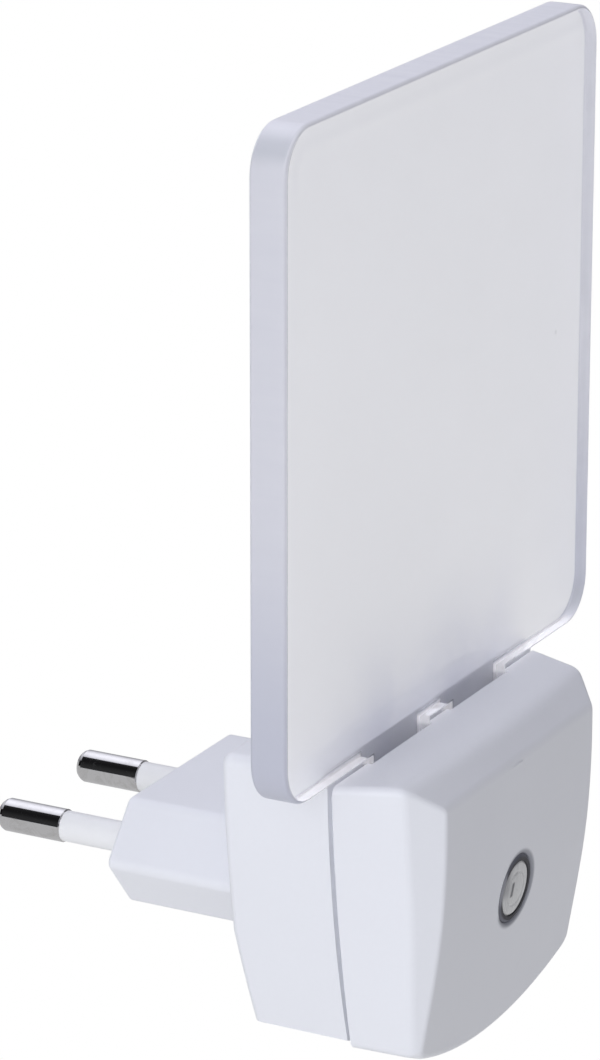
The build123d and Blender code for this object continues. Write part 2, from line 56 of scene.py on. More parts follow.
# ------------------------------------------------------------------ node helpers
class Mat:
    """A material under construction, with short calls for the nodes used again and again."""

    def __init__(self, name):
        self.m = bpy.data.materials.new(name)
        self.m.use_nodes = True
        self.t = self.m.node_tree
        self.t.nodes.clear()
        self.out = self.t.nodes.new("ShaderNodeOutputMaterial")
        self.p = self.t.nodes.new("ShaderNodeBsdfPrincipled")
        self.link(self.p.outputs[0], self.out.inputs["Surface"])
        self.co = self.t.nodes.new("ShaderNodeTexCoord").outputs["Object"]

    def link(self, a, b):
        self.t.links.new(a, b)

    def node(self, kind, **props):
        n = self.t.nodes.new(kind)
        for k, v in props.items():
            setattr(n, k, v)
        return n

    def set(self, **values):
        for k, v in values.items():
            key = {"rough": "Roughness", "metal": "Metallic", "ior": "IOR", "spec": "Specular IOR Level",
                   "trans": "Transmission Weight", "coat": "Coat Weight", "coat_rough": "Coat Roughness",
                   "sss": "Subsurface Weight", "sss_scale": "Subsurface Scale", "base": "Base Color",
                   "alpha": "Alpha", "sheen": "Sheen Weight", "aniso": "Anisotropic"}[k]
            s = self.p.inputs[key]
            s.default_value = (*v, 1.0) if key == "Base Color" and len(v) == 3 else v
        return self

    def noise(self, scale, detail=3.0, rough=0.5, vec=None, distortion=0.0):
        n = self.node("ShaderNodeTexNoise")
        n.inputs["Scale"].default_value = scale
        n.inputs["Detail"].default_value = detail
        n.inputs["Roughness"].default_value = rough
        n.inputs["Distortion"].default_value = distortion
        self.link(vec or self.co, n.inputs["Vector"])
        return n.outputs[0]

    def voronoi(self, scale, vec=None, feature="F1", out="Distance", randomness=1.0):
        n = self.node("ShaderNodeTexVoronoi", feature=feature)
        n.inputs["Scale"].default_value = scale
        n.inputs["Randomness"].default_value = randomness
        self.link(vec or self.co, n.inputs["Vector"])
        return n.outputs[out]

    def ramp(self, fac, stops, interpolation="LINEAR"):
        n = self.node("ShaderNodeValToRGB")
        n.color_ramp.interpolation = interpolation
        e = n.color_ramp.elements
        while len(e) > 1:
            e.remove(e[-1])
        e[0].position = stops[0][0]
        e[0].color = self.rgba(stops[0][1])
        for pos, c in stops[1:]:
            x = e.new(pos)
            x.color = self.rgba(c)
        self.link(fac, n.inputs["Fac"])
        return n.outputs["Color"]

    @staticmethod
    def rgba(c):
        return (c, c, c, 1.0) if isinstance(c, (int, float)) else (*c, 1.0) if len(c) == 3 else tuple(c)

    def range(self, value, a, b, lo, hi, smooth=False):
        n = self.node("ShaderNodeMapRange", clamp=True)
        if smooth:
            n.interpolation_type = "SMOOTHSTEP"
        for k, v in zip(("From Min", "From Max", "To Min", "To Max"), (a, b, lo, hi)):
            n.inputs[k].default_value = v
        self.link(value, n.inputs["Value"])
        return n.outputs[0]

    def math(self, op, a, b=None, clamp=False):
        n = self.node("ShaderNodeMath", operation=op, use_clamp=clamp)
        for i, v in enumerate((a, b)):
            if v is None:
                continue
            if isinstance(v, (int, float)):
                n.inputs[i].default_value = v
            else:
                self.link(v, n.inputs[i])
        return n.outputs[0]

    def mix(self, fac, a, b, blend="MIX"):
        n = self.node("ShaderNodeMix", data_type="RGBA", blend_type=blend)
        for socket, v in ((n.inputs[0], fac), (n.inputs[6], a), (n.inputs[7], b)):
            if isinstance(v, (int, float)):
                socket.default_value = v if socket is n.inputs[0] else self.rgba(v)
            elif isinstance(v, tuple):
                socket.default_value = self.rgba(v)
            else:
                self.link(v, socket)
        return n.outputs[2]

    def xyz(self, vec=None):
        n = self.node("ShaderNodeSeparateXYZ")
        self.link(vec or self.co, n.inputs[0])
        return n.outputs

    def mapped(self, loc=(0, 0, 0), rot=(0, 0, 0), scale=(1, 1, 1)):
        n = self.node("ShaderNodeMapping")
        n.inputs["Location"].default_value = loc
        n.inputs["Rotation"].default_value = rot
        n.inputs["Scale"].default_value = scale
        self.link(self.co, n.inputs["Vector"])
        return n.outputs[0]

    def bump(self, height, distance, strength=1.0, normal=None):
        n = self.node("ShaderNodeBump")
        n.inputs["Distance"].default_value = distance
        n.inputs["Strength"].default_value = strength
        self.link(height, n.inputs["Height"])
        if normal is not None:
            self.link(normal, n.inputs["Normal"])
        return n.outputs[0]

    def color(self, socket):
        self.link(socket, self.p.inputs["Base Color"])

    def rough(self, socket):
        self.link(socket, self.p.inputs["Roughness"])

    def normal(self, socket):
        self.link(socket, self.p.inputs["Normal"])

    def clear_to_lamps(self, tint, share):
        """Lets part of the lamp light through the glass, so that what is behind it is lit."""
        path = self.node("ShaderNodeLightPath")
        clear = self.node("ShaderNodeBsdfTransparent")
        clear.inputs[0].default_value = (*tint, 1.0)
        mixer = self.node("ShaderNodeMixShader")
        self.link(self.math("MULTIPLY", path.outputs["Is Shadow Ray"], share), mixer.inputs[0])
        self.link(self.p.outputs[0], mixer.inputs[1])
        self.link(clear.outputs[0], mixer.inputs[2])
        self.link(mixer.outputs[0], self.out.inputs["Surface"])


def srgb(r, g, b):
    """Linear colour from sRGB bytes."""
    return tuple((c / 255 / 12.92) if c / 255 <= 0.04045 else ((c / 255 + 0.055) / 1.055) ** 2.4 for c in (r, g, b))


def scaled(c, k):
    return tuple(min(1.0, x * k) for x in c)


def moulded(name, base, rough=0.36, grain=1.0, mottle=0.012, sss=0.0):
    """Moulded thermoplastic: faint flow mottling, fine eroded grain and a few duller rubbed patches."""
    m = Mat(name)
    cloud = m.noise(55, 4, 0.55, distortion=0.6)
    fleck = m.noise(1700, 2, 0.6)
    c = m.ramp(cloud, [(0.3, scaled(base, 1 - mottle)), (0.5, base), (0.72, scaled(base, 1 + mottle * 0.6))])
    c = m.mix(m.range(fleck, 0.35, 0.75, 0.0, 0.5), c, scaled(base, 0.985))
    m.color(c)
    rub = m.noise(120, 5, 0.62, distortion=0.4)
    fine = m.noise(3800, 2, 0.6)
    r = m.math("ADD", m.range(rub, 0.35, 0.7, rough - 0.035, rough + 0.05), m.range(fine, 0.3, 0.7, -0.02, 0.02))
    m.rough(r)
    h = m.math("ADD", m.math("MULTIPLY", m.noise(2600, 3, 0.65), 0.8), m.math("MULTIPLY", m.noise(260, 2, 0.5), 0.35))
    m.normal(m.bump(h, 0.000012 * grain, 0.5))
    m.set(spec=0.5, ior=1.49)
    if sss:
        m.set(sss=sss, sss_scale=0.0008)
        m.p.inputs["Subsurface Radius"].default_value = (1.0, 0.9, 0.8)
    return m


# ---------------------------------------------------------------------- materials
WHITE = srgb(237, 238, 242)
mats = {}
mats["white_housing"] = moulded("white_housing", WHITE, 0.38, 1.0, 0.008)

# painted shade: greyer in the rounded opening round the sensor, where the recess lies in shade, except on its left
SENSOR = Vector((0.0, -44.35, -0.8)) * MM
m = mats["white_housing"]
x, y, z = m.xyz()[:3]
dz = m.math("SUBTRACT", z, SENSOR.z)
radius = m.math("SQRT", m.math("ADD", m.math("MULTIPLY", x, x), m.math("MULTIPLY", dz, dz)))
mouth_shade = m.math("MULTIPLY", m.range(radius, 0.0044, 0.0050, 1.0, 0.0, True), m.range(y, -0.0425, -0.0420, 1.0, 0.0))
left = m.math("MULTIPLY", m.range(x, -0.0034, -0.0024, 1.0, 0.0, True), m.range(dz, -0.0028, -0.0016, 0.0, 1.0, True))
mouth_shade = m.math("MULTIPLY", mouth_shade, m.math("SUBTRACT", 1.0, left))
was = m.p.inputs["Base Color"].links[0].from_socket
m.color(m.mix(m.math("MULTIPLY", mouth_shade, 0.85), was, srgb(132, 133, 142)))
mats["pin_sleeve_plastic"] = moulded("pin_sleeve_plastic", srgb(240, 240, 240), 0.42, 0.7, 0.010)
mats["retainer_plastic"] = moulded("retainer_plastic", srgb(222, 221, 214), 0.46, 1.6, 0.02)
mats["led_white"] = moulded("led_white", srgb(238, 236, 228), 0.5, 0.6, 0.015)

# nickel plate with drawn lines along the pin, light rub marks and tiny pits
m = Mat("pin_metal")
along = m.mapped(scale=(2600, 90, 2600))
lines = m.noise(1.0, 4, 0.65, along)
marks = m.noise(420, 5, 0.7, distortion=1.2)
c = m.mix(m.range(marks, 0.48, 0.7, 0.0, 0.6), srgb(206, 205, 204), srgb(186, 184, 181))
m.color(c)
m.rough(m.math("ADD", m.range(lines, 0.3, 0.7, 0.045, 0.09), m.range(marks, 0.55, 0.75, 0.0, 0.16)))
pits = m.range(m.voronoi(900), 0.0, 0.09, 0.0, 1.0)
m.normal(m.bump(m.math("ADD", m.math("MULTIPLY", lines, 0.25), m.math("MULTIPLY", pits, 0.25)), 0.000008, 0.35))
m.set(metal=1.0)
mats["pin_metal"] = m

# clear acrylic: the front is polished, the rim is cut and flame polished, the rear is sandblasted
ACRYLIC = {}


def acrylic(name, tint, rough, haze_and_shade, bumps, clear=1.0):
    """Acrylic whose surface is more or less frosted; clear is the share of light that passes, the rest is milky."""
    m = Mat(name)
    drift = m.noise(26, 3, 0.5, distortion=0.5)
    c = m.ramp(drift, [(0.3, scaled(tint, 0.985)), (0.7, tint)])
    motes = m.range(m.voronoi(75, randomness=1.0), 0.012, 0.03, 1.0, 0.0)
    m.color(m.mix(m.math("MULTIPLY", motes, 0.35), c, scaled(tint, 0.55)))
    m.rough(m.math("ADD", m.range(m.noise(180, 4, 0.6), 0.35, 0.7, rough, rough + haze_and_shade), m.math("MULTIPLY", motes, 0.3)))
    m.normal(m.bump(m.noise(bumps[0], 3, 0.6), bumps[1], bumps[2]))
    m.set(trans=clear, ior=1.49)
    m.clear_to_lamps((0.95, 0.95, 0.97), 0.83)
    return m


ACRYLIC["front"] = acrylic("clear_acrylic_front", (0.975, 0.975, 0.985), 0.09, 0.04, (300, 0.000002, 0.3))
# painted reflection: a darker and a paler soft band that follow the plate's outline along its right and top edges,
# standing for the rim seen by reflection inside the plate
m = ACRYLIC["front"]
lo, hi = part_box("light_panel")
x, y, z = m.xyz()[:3]
R = 0.0053
qx = m.math("SUBTRACT", m.math("ABSOLUTE", m.math("SUBTRACT", x, (lo.x + hi.x) / 2)), (hi.x - lo.x) / 2 - R)
qz = m.math("SUBTRACT", m.math("ABSOLUTE", m.math("SUBTRACT", z, (0.0192 + hi.z) / 2)), (hi.z - 0.0192) / 2 - R)
ox, oz = m.math("MAXIMUM", qx, 0.0), m.math("MAXIMUM", qz, 0.0)
inside = m.math("MINIMUM", m.math("MAXIMUM", qx, qz), 0.0)
depth = m.math("SUBTRACT", R, m.math("ADD", inside, m.math("SQRT", m.math("ADD", m.math("MULTIPLY", ox, ox), m.math("MULTIPLY", oz, oz)))))
where = m.math("MAXIMUM", m.range(x, 0.026, 0.034, 0.0, 1.0, True), m.range(z, 0.084, 0.091, 0.0, 0.6, True))
was = m.p.inputs["Base Color"].links[0].from_socket
rim_band_shade = m.math("MULTIPLY", where, m.range(m.math("ABSOLUTE", m.math("SUBTRACT", depth, 0.0021)), 0.0002, 0.0009, 0.8, 0.0, True))
c = m.mix(rim_band_shade, was, (0.89, 0.89, 0.91))
pale = m.math("MULTIPLY", where, m.range(m.math("ABSOLUTE", m.math("SUBTRACT", depth, 0.0034)), 0.0, 0.0007, 1.0, 0.0, True))
m.color(m.mix(pale, c, (1.0, 1.0, 1.0)))
ACRYLIC["rear"] = acrylic("clear_acrylic_rear", (1.0, 1.0, 1.0), 0.80, 0.06, (2200, 0.00001, 0.4), 1.0)

# painted shade: bluish lavender in soft clouds beside the tabs, strongest towards the bottom, standing for the shaded
# housing top seen blurred through the frosted rear
m = ACRYLIC["rear"]
x, y, z = m.xyz()[:3]
haze_and_shade = m.math("MULTIPLY", m.range(z, 0.021, 0.037, 1.0, 0.0, True), m.range(m.math("ABSOLUTE", x), 0.014, 0.027, 1.0, 0.0, True))
haze_and_shade = m.math("MULTIPLY", haze_and_shade, m.range(m.noise(95, 3, 0.55), 0.35, 0.65, 0.45, 1.0, True))
was = m.p.inputs["Base Color"].links[0].from_socket
m.color(m.mix(m.math("MULTIPLY", haze_and_shade, 0.7), was, (0.74, 0.75, 0.84)))

# ground rim: milky, with faint saw lines across it; it clears towards the polished front, over the rounded edge.
# Painted light and shade on it: palest where it faces up and paler where it faces +X, painted shade in deeper lavender
# towards the bottom beside the housing, a painted dark reflection on the rounded top corners, and a painted bright
# bottom edge
m = Mat("clear_acrylic_rim")
x, y, z = m.xyz()[:3]
face = m.xyz(m.node("ShaderNodeNewGeometry").outputs["Normal"])
# painted shade: deeper lavender towards the bottom, beside the housing
low_shade = m.range(z, 0.024, 0.056, 1.0, 0.0, True)
saw = m.noise(1.0, 3, 0.6, m.mapped(scale=(420, 60, 420)))
c = m.mix(low_shade, srgb(219, 219, 225), srgb(196, 198, 210))
# painted light: paler where the rim faces +X, palest where it faces up
c = m.mix(m.range(face[0], 0.6, 0.95, 0.0, 1.0), c, srgb(230, 230, 237))
c = m.mix(m.range(face[2], 0.25, 0.85, 0.0, 1.0, True), c, srgb(246, 246, 252))
# painted reflection: a darker grey on the rounded top corners of the rim
corner_dark_reflection = m.math("MULTIPLY", m.range(m.math("ABSOLUTE", m.math("SUBTRACT", face[2], 0.62)), 0.05, 0.40, 0.55, 0.0, True),
                m.range(m.math("ABSOLUTE", face[1]), 0.2, 0.5, 1.0, 0.0))
c = m.mix(corner_dark_reflection, c, srgb(182, 186, 193))
# painted light: the rim's bottom edge, just above the housing, is made near white
under = m.range(z, 0.01925, 0.0197, 1.0, 0.0)
c = m.mix(under, c, (0.98, 0.96, 0.96))
c = m.mix(m.range(saw, 0.35, 0.75, 0.0, 0.12), c, srgb(190, 190, 204))
m.color(c)
m.rough(m.range(saw, 0.3, 0.7, 0.34, 0.46))
m.normal(m.bump(saw, 0.00003, 0.35))
m.link(m.math("MAXIMUM", m.range(face[1], -0.95, -0.5, 0.3, 0.12, True), m.math("MULTIPLY", under, 0.8)), m.p.inputs["Transmission Weight"])
m.set(ior=1.49)
m.clear_to_lamps((0.95, 0.95, 0.97), 0.83)
# painted light: the rim's bottom edge glows faintly, though the plate is no lamp
glow = m.math("MULTIPLY", m.range(z, 0.01925, 0.0196, 1.0, 0.0), m.range(z, 0.0182, 0.0186, 0.0, 1.0))
m.link(m.math("MULTIPLY", glow, 0.22), m.p.inputs["Emission Strength"])
m.p.inputs["Emission Color"].default_value = (1.0, 0.97, 0.98, 1.0)
ACRYLIC["rim"] = m
mats["clear_acrylic"] = ACRYLIC["front"]

# dark rubber ring round the sensor window: near black beside the lens; painted shade outside it, a mid grey standing
# for the white lip of the opening in shade, with a little dust
m = Mat("black_rubber")
x, y, z = m.xyz()[:3]
dz = m.math("SUBTRACT", z, SENSOR.z)
radius = m.math("SQRT", m.math("ADD", m.math("MULTIPLY", x, x), m.math("MULTIPLY", dz, dz)))
dust = m.noise(1500, 4, 0.6)
c = m.ramp(m.range(radius, 0.0030, 0.0046, 0.0, 1.0),
           [(0.0, srgb(40, 40, 45)), (0.44, srgb(48, 48, 54)), (0.54, srgb(104, 105, 113)), (0.72, srgb(134, 135, 144))])
# painted light: paler on the upper left of the ring, where the light falls
left = m.math("MULTIPLY", m.range(x, -0.0032, -0.0024, 1.0, 0.0, True), m.range(dz, -0.0016, 0.0002, 0.0, 0.85, True))
c = m.mix(left, c, srgb(158, 159, 166))
m.color(m.mix(m.range(dust, 0.45, 0.85, 0.0, 0.12), c, srgb(110, 110, 114)))
m.rough(m.range(dust, 0.3, 0.7, 0.5, 0.68))
m.normal(m.bump(m.noise(2600, 3, 0.6), 0.00001, 0.5))
mats["black_rubber"] = m

# moulded lens: milky, with the dark slit of the sensor showing through left of its middle and faint upright lines
m = Mat("clear_lens")
x, y, z = m.xyz()[:3]
dz = m.math("SUBTRACT", z, SENSOR.z)
radius = m.math("SQRT", m.math("ADD", m.math("MULTIPLY", x, x), m.math("MULTIPLY", dz, dz)))
upright = m.noise(1.0, 3, 0.6, m.mapped(scale=(3600, 1, 130)))
c = m.ramp(upright, [(0.3, srgb(196, 196, 195)), (0.5, srgb(212, 212, 210)), (0.7, srgb(224, 224, 222))])
# painted shade: darker on the upper left of the lens
shade = m.math("MULTIPLY", m.range(x, -0.0026, -0.0011, 1.0, 0.0, True), m.range(dz, -0.0010, 0.0006, 0.0, 1.0, True))
c = m.mix(m.math("MULTIPLY", shade, 0.75), c, srgb(140, 140, 142))
gap = m.math("ABSOLUTE", m.math("ADD", x, m.math("SUBTRACT", 0.0012, m.math("MULTIPLY", dz, 0.2))))
slit = m.math("MULTIPLY", m.range(gap, 0.00014, 0.00042, 1.0, 0.0, True),
              m.range(m.math("ABSOLUTE", m.math("SUBTRACT", dz, 0.00025)), 0.0007, 0.0010, 1.0, 0.0, True))
c = m.mix(slit, c, srgb(84, 84, 88))
m.color(c)
m.rough(m.range(m.noise(900, 4, 0.6), 0.3, 0.75, 0.10, 0.20))
m.normal(m.bump(upright, 0.00003, 0.5))
m.set(trans=0.08, ior=1.47, coat=0.5, coat_rough=0.05)
m.clear_to_lamps((0.95, 0.95, 0.95), 0.5)
mats["clear_lens"] = m

# light-dependent resistor: ceramic disc with a winding track and two metal combs
m = Mat("sensor_ceramic")
x, y, z = m.xyz()[:3]
row = m.math("MULTIPLY", m.math("SUBTRACT", z, SENSOR.z), 1 / 0.0009)
wind = m.math("SINE", m.math("MULTIPLY", row, 3.14159))
track = m.math("COMPARE", m.math("MULTIPLY", wind, 0.0014), x)
track.node.inputs[2].default_value = 0.00028
combs = m.range(m.math("ABSOLUTE", x), 0.00155, 0.0017, 0.0, 1.0)
body = m.ramp(m.noise(1400, 4, 0.6), [(0.3, srgb(190, 184, 170)), (0.7, srgb(206, 202, 190))])
c = m.mix(track, body, srgb(120, 104, 92))
c = m.mix(combs, c, srgb(176, 176, 178))
m.color(c)
m.rough(m.range(m.noise(1400, 3, 0.6), 0.3, 0.7, 0.35, 0.6))
m.normal(m.bump(m.noise(3000, 2, 0.6), 0.00001, 0.4))
mats["sensor_ceramic"] = m


def metal(name, base, rough, scale=(2400, 60, 2400), spread=0.12, tarnish=None):
    """Plated or drawn metal with lines along one direction and a little tarnish."""
    m = Mat(name)
    lines = m.noise(1.0, 4, 0.65, m.mapped(scale=scale))
    age = m.noise(500, 5, 0.65, distortion=0.8)
    m.color(m.mix(m.range(age, 0.5, 0.75, 0.0, 0.5), base, tarnish or scaled(base, 0.75)))
    m.rough(m.math("ADD", m.range(lines, 0.3, 0.7, rough, rough + spread), m.range(age, 0.5, 0.8, 0.0, 0.1)))
    m.normal(m.bump(lines, 0.00001, 0.4))
    m.set(metal=1.0)
    return m


mats["screw_steel"] = metal("screw_steel", srgb(196, 198, 202), 0.22, (1500, 1500, 1500), 0.15, srgb(150, 150, 152))
mats["tinned_wire"] = metal("tinned_wire", srgb(205, 205, 204), 0.25, (3000, 80, 3000), 0.15, srgb(168, 168, 166))


def cable(name, base):
    """Extruded soft insulation, with faint lines along it."""
    m = Mat(name)
    streak = m.noise(1.0, 3, 0.6, m.mapped(scale=(1800, 60, 1800)))
    m.color(m.ramp(streak, [(0.25, scaled(base, 0.82)), (0.55, base), (0.8, scaled(base, 1.12))]))
    m.rough(m.range(m.noise(900, 4, 0.6), 0.3, 0.7, 0.38, 0.55))
    m.normal(m.bump(streak, 0.00002, 0.4))
    m.set(spec=0.45)
    return m


mats["lead_insulation_blue"] = cable("lead_insulation_blue", srgb(44, 92, 176))
mats["lead_insulation_brown"] = cable("lead_insulation_brown", srgb(112, 66, 40))
mats["lead_insulation_red"] = cable("lead_insulation_red", srgb(184, 38, 34))

# solder mask over copper tracks; tinned pads in a grid of uneven cells
m = Mat("board_green")
x, y, z = m.xyz()[:3]
flat = m.mapped(scale=(1, 0, 1))
cells = m.voronoi(190, flat, "DISTANCE_TO_EDGE", "Distance", 0.85)
tracks = m.range(cells, 0.055, 0.075, 0.0, 1.0)
pads = m.range(m.voronoi(260, flat, "F1", "Distance", 0.55), 0.13, 0.15, 1.0, 0.0)
mask_c = m.ramp(m.noise(300, 4, 0.6), [(0.3, srgb(18, 86, 48)), (0.7, srgb(26, 104, 58))])
c = m.mix(tracks, mask_c, srgb(40, 128, 72))
c = m.mix(pads, c, srgb(202, 202, 198))
weave = m.noise(1.0, 2, 0.5, m.mapped(scale=(3500, 700, 3500)))
c = m.mix(m.range(weave, 0.5, 0.8, 0.0, 0.12), c, srgb(96, 140, 88))
m.color(c)
m.link(pads, m.p.inputs["Metallic"])
m.rough(m.range(m.noise(700, 3, 0.6), 0.3, 0.7, 0.26, 0.42))
m.normal(m.bump(m.math("ADD", tracks, m.math("MULTIPLY", pads, 0.8)), 0.00003, 0.6))
mats["board_green"] = m

# white solder mask with tinned pads and wide tracks
m = Mat("board_white")
flat = m.mapped(scale=(1, 1, 0))
cells = m.voronoi(150, flat, "DISTANCE_TO_EDGE", "Distance", 0.7)
tracks = m.range(cells, 0.04, 0.07, 0.0, 1.0)
c = m.ramp(m.noise(400, 4, 0.6), [(0.3, srgb(222, 222, 216)), (0.7, srgb(234, 234, 230))])
m.color(m.mix(tracks, srgb(206, 204, 194), c))
m.rough(m.range(m.noise(900, 3, 0.6), 0.3, 0.7, 0.34, 0.5))
m.normal(m.bump(tracks, 0.00003, 0.6))
mats["board_white"] = m

# phosphor gel in the lamp cups
m = Mat("led_phosphor")
grains = m.voronoi(6000)
m.color(m.ramp(grains, [(0.0, srgb(236, 214, 92)), (0.5, srgb(228, 200, 74)), (1.0, srgb(208, 178, 60))]))
m.rough(m.range(m.noise(2500, 3, 0.6), 0.3, 0.7, 0.22, 0.4))
m.normal(m.bump(grains, 0.00001, 0.4))
m.set(sss=0.2, sss_scale=0.0003, coat=0.4)
mats["led_phosphor"] = m

# dipped epoxy on the film capacitor
m = Mat("capacitor_red")
m.color(m.ramp(m.noise(420, 4, 0.6, distortion=0.5), [(0.25, srgb(150, 38, 26)), (0.6, srgb(176, 50, 34)), (0.8, srgb(190, 66, 46))]))
m.rough(m.range(m.noise(800, 4, 0.6), 0.3, 0.7, 0.2, 0.4))
m.normal(m.bump(m.noise(600, 3, 0.55), 0.00005, 0.5))
m.set(coat=0.35)
mats["capacitor_red"] = m

# shrink sleeve with a pale stripe for the negative side; bare aluminium top
m = Mat("capacitor_sleeve")
x, y, z = m.xyz()[:3]
wrinkle = m.noise(1.0, 3, 0.6, m.mapped(scale=(900, 240, 900)))
side = m.math("SUBTRACT", x, 0.0104)
stripe = m.math("MULTIPLY", m.range(side, -0.0018, -0.0016, 1.0, 0.0), m.range(y, -0.0296, -0.0294, 1.0, 0.0))
top = m.math("MULTIPLY", m.range(y, -0.02862, -0.02858, 0.0, 1.0),
             m.range(m.math("SQRT", m.math("ADD", m.math("MULTIPLY", side, side),
                                           m.math("POWER", m.math("ADD", z, 0.0036), 2.0))), 0.00205, 0.00215, 1.0, 0.0))
c = m.ramp(wrinkle, [(0.3, srgb(26, 34, 62)), (0.7, srgb(36, 46, 82))])
c = m.mix(stripe, c, srgb(190, 194, 200))
c = m.mix(top, c, srgb(190, 190, 190))
m.color(c)
m.link(top, m.p.inputs["Metallic"])
m.rough(m.range(m.noise(900, 3, 0.6), 0.3, 0.7, 0.28, 0.42))
m.normal(m.bump(wrinkle, 0.00003, 0.5))
mats["capacitor_sleeve"] = m

# moulded semiconductor bodies; legs tinned where they leave the body
m = Mat("black_epoxy")
x, y, z = m.xyz()[:3]
legs = m.math("MULTIPLY", m.range(x, 0.0, 0.0004, 0.0, 1.0), m.range(y, -0.03472, -0.03470, 1.0, 0.0))
speck = m.noise(2600, 4, 0.7)
c = m.ramp(speck, [(0.3, srgb(26, 26, 28)), (0.65, srgb(38, 38, 40)), (0.85, srgb(58, 58, 60))])
m.color(m.mix(legs, c, srgb(200, 200, 198)))
m.link(legs, m.p.inputs["Metallic"])
m.rough(m.range(speck, 0.3, 0.7, 0.42, 0.62))
m.normal(m.bump(speck, 0.00002, 0.5))
mats["black_epoxy"] = m


def banded(name, base, bands, ends):
    """Axial part lying along X: lacquered body with colour bands, tinned leads beyond the body's ends.
    bands are (x centre, width, colour) in millimetres for each body in ends, (x0, x1)."""
    m = Mat(name)
    x, y, z = m.xyz()[:3]
    c = m.ramp(m.noise(700, 4, 0.6), [(0.3, scaled(base, 0.9)), (0.7, scaled(base, 1.06))])
    for centre, width, colour in bands:
        gap = m.math("ABSOLUTE", m.math("SUBTRACT", x, centre * MM))
        c = m.mix(m.range(gap, (width / 2 - 0.04) * MM, (width / 2 + 0.04) * MM, 1.0, 0.0), c, colour)
    inside = None
    for a, b in ends:
        gap = m.math("ABSOLUTE", m.math("SUBTRACT", x, (a + b) / 2 * MM))
        one = m.range(gap, ((b - a) / 2 + 0.005) * MM, ((b - a) / 2 + 0.03) * MM, 1.0, 0.0)
        inside = one if inside is None else m.math("MAXIMUM", inside, one)
    wire = m.math("SUBTRACT", 1.0, inside)
    c = m.mix(wire, c, srgb(204, 204, 202))
    m.color(c)
    m.link(wire, m.p.inputs["Metallic"])
    m.rough(m.range(m.noise(900, 3, 0.6), 0.3, 0.7, 0.25, 0.4))
    m.normal(m.bump(m.noise(900, 3, 0.6), 0.00002, 0.5))
    return m


BROWN, BLACK, RED, GOLD, GREY = srgb(96, 56, 30), srgb(24, 24, 24), srgb(178, 34, 28), srgb(176, 138, 58), srgb(120, 120, 120)
mats["resistor_green"] = banded("resistor_green", srgb(112, 146, 122),
                                [(-14.9, 0.7, BROWN), (-13.5, 0.7, BLACK), (-12.3, 0.7, BLACK), (-10.4, 0.7, GOLD)], [(-16.0, -9.2)])
mats["resistor_tan"] = banded("resistor_tan", srgb(212, 184, 142),
                              [(9.5, 0.5, BROWN), (10.5, 0.5, BLACK), (11.3, 0.5, GREY), (12.6, 0.5, GOLD),
                               (-4.7, 0.5, RED), (-3.7, 0.5, RED), (-2.9, 0.5, BROWN), (-1.5, 0.5, GOLD)],
                              [(8.6, 13.4), (-5.6, -0.6)])
mats["diode_glass"] = banded("diode_glass", srgb(196, 92, 48), [(-14.6, 0.45, BLACK)], [(-16.5, -14.1)])
mats["diode_glass"].set(coat=0.6)

slot_of = {row["node"]: row["material_slot"] for row in frame["record"]["subparts"]}
for node, obj in nodes_by_name.items():
    for i in range(len(obj.data.materials)):
        obj.data.materials[i] = mats[slot_of[node]].m


